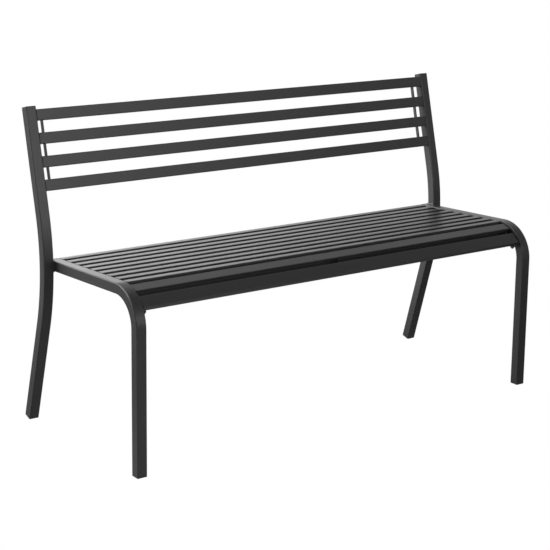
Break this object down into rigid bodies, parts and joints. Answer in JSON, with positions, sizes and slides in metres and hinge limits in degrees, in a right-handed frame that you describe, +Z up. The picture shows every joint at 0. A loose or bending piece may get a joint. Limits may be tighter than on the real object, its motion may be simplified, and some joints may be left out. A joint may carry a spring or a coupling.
{
  "type": "outdoor bench",
  "caption": "Outdoor steel bench: bent square-tube legs run into the seat's sides and meet outer rear posts, with a slatted seat, a sloping front edge and a leaning back of level rails.",
  "frame": {"origin": "bottom centre of the whole bench, on the ground: half way along its width and half way from the front legs' front faces to the rearmost edges of the rear feet", "axes": "+X along the bench, from the left side to the right side as seen from the front; -Y towards the front, where one sits; +Z up"},
  "size_m": [1.27, 0.511, 0.796],
  "materials": {
    "frame_paint": "dark grey powder coat, fine texture, satin",
    "slat_paint": "dark grey powder coat, fine texture, satin",
    "cap_plastic": "moulded black, matt"
  },
  "bodies": {
    "root": {"side_tube_left": "frame_paint", "side_tube_right": "frame_paint", "rear_post_left": "frame_paint", "rear_post_right": "frame_paint", "post_cap_left": "cap_plastic", "post_cap_right": "cap_plastic", "side_cap_left": "cap_plastic", "side_cap_right": "cap_plastic", "foot_cap_front_left": "cap_plastic", "foot_cap_front_right": "cap_plastic", "foot_cap_rear_left": "cap_plastic", "foot_cap_rear_right": "cap_plastic", "back_rail_1": "slat_paint", "back_rail_2": "slat_paint", "back_rail_3": "slat_paint", "back_rail_4": "slat_paint", "back_upright_left": "slat_paint", "back_upright_right": "slat_paint", "seat_slat_1": "slat_paint", "seat_slat_2": "slat_paint", "seat_slat_3": "slat_paint", "seat_slat_4": "slat_paint", "seat_slat_5": "slat_paint", "seat_slat_6": "slat_paint", "seat_slat_7": "slat_paint", "seat_slat_8": "slat_paint", "seat_slat_9": "slat_paint", "seat_nose_slat": "slat_paint", "front_apron": "slat_paint", "front_cross_tube": "slat_paint", "seat_bracket_left": "slat_paint", "seat_bracket_middle": "slat_paint", "seat_bracket_right": "slat_paint", "seat_bar_left": "slat_paint", "seat_bar_middle": "slat_paint", "seat_bar_right": "slat_paint"}
  },
  "joints": []
}
